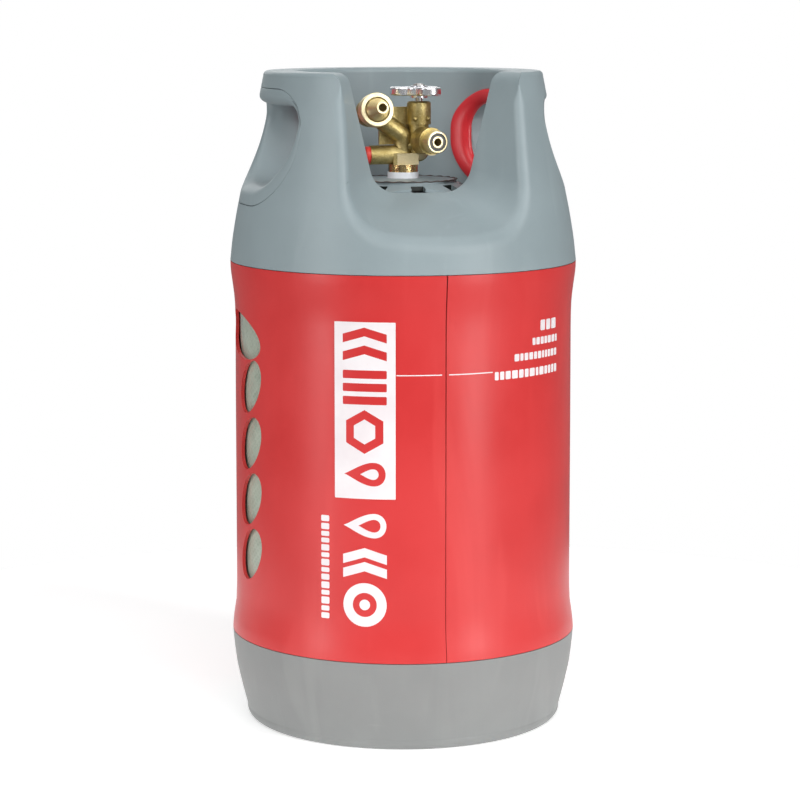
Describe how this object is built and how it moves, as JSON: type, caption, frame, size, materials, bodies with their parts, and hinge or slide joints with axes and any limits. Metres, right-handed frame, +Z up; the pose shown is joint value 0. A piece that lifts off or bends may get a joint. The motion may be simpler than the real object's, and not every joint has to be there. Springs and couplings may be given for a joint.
{
  "type": "propane tank",
  "caption": "Refillable composite gas cylinder with moulded grey casing, red sleeve with level windows, hand openings and a two-port brass valve.",
  "frame": {"origin": "centre of the foot ring on the floor", "axes": "+Z up along the cylinder axis, -Y towards the valve ports, the hand openings on +X and -X"},
  "size_m": [0.3056, 0.3056, 0.574],
  "materials": {
    "casing_grey": "fine moulded grain",
    "sleeve_red": "satin moulded",
    "ring_red": "satin moulded",
    "composite": "translucent wound fibre",
    "liner": "natural",
    "boss_alloy": "turned",
    "brass": "forged and turned",
    "steel": "bright",
    "chrome": "polished",
    "white_plastic": "plain",
    "rubber": "black",
    "cap_red": "plain",
    "stop_plastic": "acetal",
    "float_foam": "closed cell"
  },
  "bodies": {
    "cylinder": {"top_casing": "casing_grey", "base_casing": "casing_grey", "handle_insert_left": "casing_grey", "handle_insert_right": "casing_grey", "neck_collar": "casing_grey", "sleeve": "sleeve_red", "grip_ring_left": "ring_red", "grip_ring_right": "ring_red", "composite_shell": "composite", "liner": "liner", "neck_boss": "boss_alloy", "base_plug": "boss_alloy", "valve_body": "brass", "bonnet": "brass", "outlet_union": "brass", "fill_connector": "brass", "fill_nozzle": "brass", "relief_adjuster": "brass", "neck_washer": "white_plastic", "neck_o_ring": "rubber", "gland_o_ring": "rubber", "outlet_seal": "rubber", "boss_seal": "rubber", "stop_housing": "stop_plastic", "float_pin": "steel", "fill_check_spring": "steel", "relief_spring": "steel"},
    "handwheel": {"handwheel": "chrome", "spindle": "steel", "handwheel_nut": "steel"},
    "plug": {"valve_plug": "brass", "plug_seat_disc": "rubber"},
    "fill_check": {"fill_check_poppet": "steel"},
    "relief": {"relief_disc": "steel"},
    "cap": {"relief_cap": "cap_red"},
    "float_lever": {"float_arm": "stop_plastic", "float": "float_foam"},
    "stop_shutter": {"stop_piston": "stop_plastic"}
  },
  "joints": [
    {"name": "handwheel_turn", "type": "hinge", "parent": "cylinder", "child": "handwheel", "pos_m": [0.0135, -0.003, 0.556], "axis": [0, 0, 1], "range_deg": [0, 720]},
    {"name": "plug_lift", "type": "slide", "parent": "cylinder", "child": "plug", "axis": [0, 0, 1], "range_m": [0, 0.004]},
    {"name": "fill_check_push", "type": "slide", "parent": "cylinder", "child": "fill_check", "axis": [-0.0346, 0.9897, -0.1392], "range_m": [0, 0.002], "stiffness_N_per_m": 200, "springref_m": -0.001, "deforming": ["fill_check_spring"]},
    {"name": "relief_lift", "type": "slide", "parent": "cylinder", "child": "relief", "axis": [-1, 0, 0], "range_m": [0, 0.0006], "stiffness_N_per_m": 4000, "springref_m": -0.001, "deforming": ["relief_spring"]},
    {"name": "relief_cap_pull", "type": "slide", "parent": "cylinder", "child": "cap", "axis": [-1, 0, 0], "range_m": [0, 0.02]},
    {"name": "float_swing", "type": "hinge", "parent": "cylinder", "child": "float_lever", "pos_m": [0, 0, 0.41], "axis": [0, -1, 0], "range_deg": [0, 72]},
    {"name": "shutter_lift", "type": "slide", "parent": "cylinder", "child": "stop_shutter", "axis": [0, 0, 1], "range_m": [0, 0.004]}
  ],
  "couplings": [
    {"joint": "plug_lift", "follows": "handwheel_turn", "m_per_rad": 0.00031828},
    {"joint": "shutter_lift", "follows": "float_swing", "m_per_rad": 0.0031828}
  ]
}
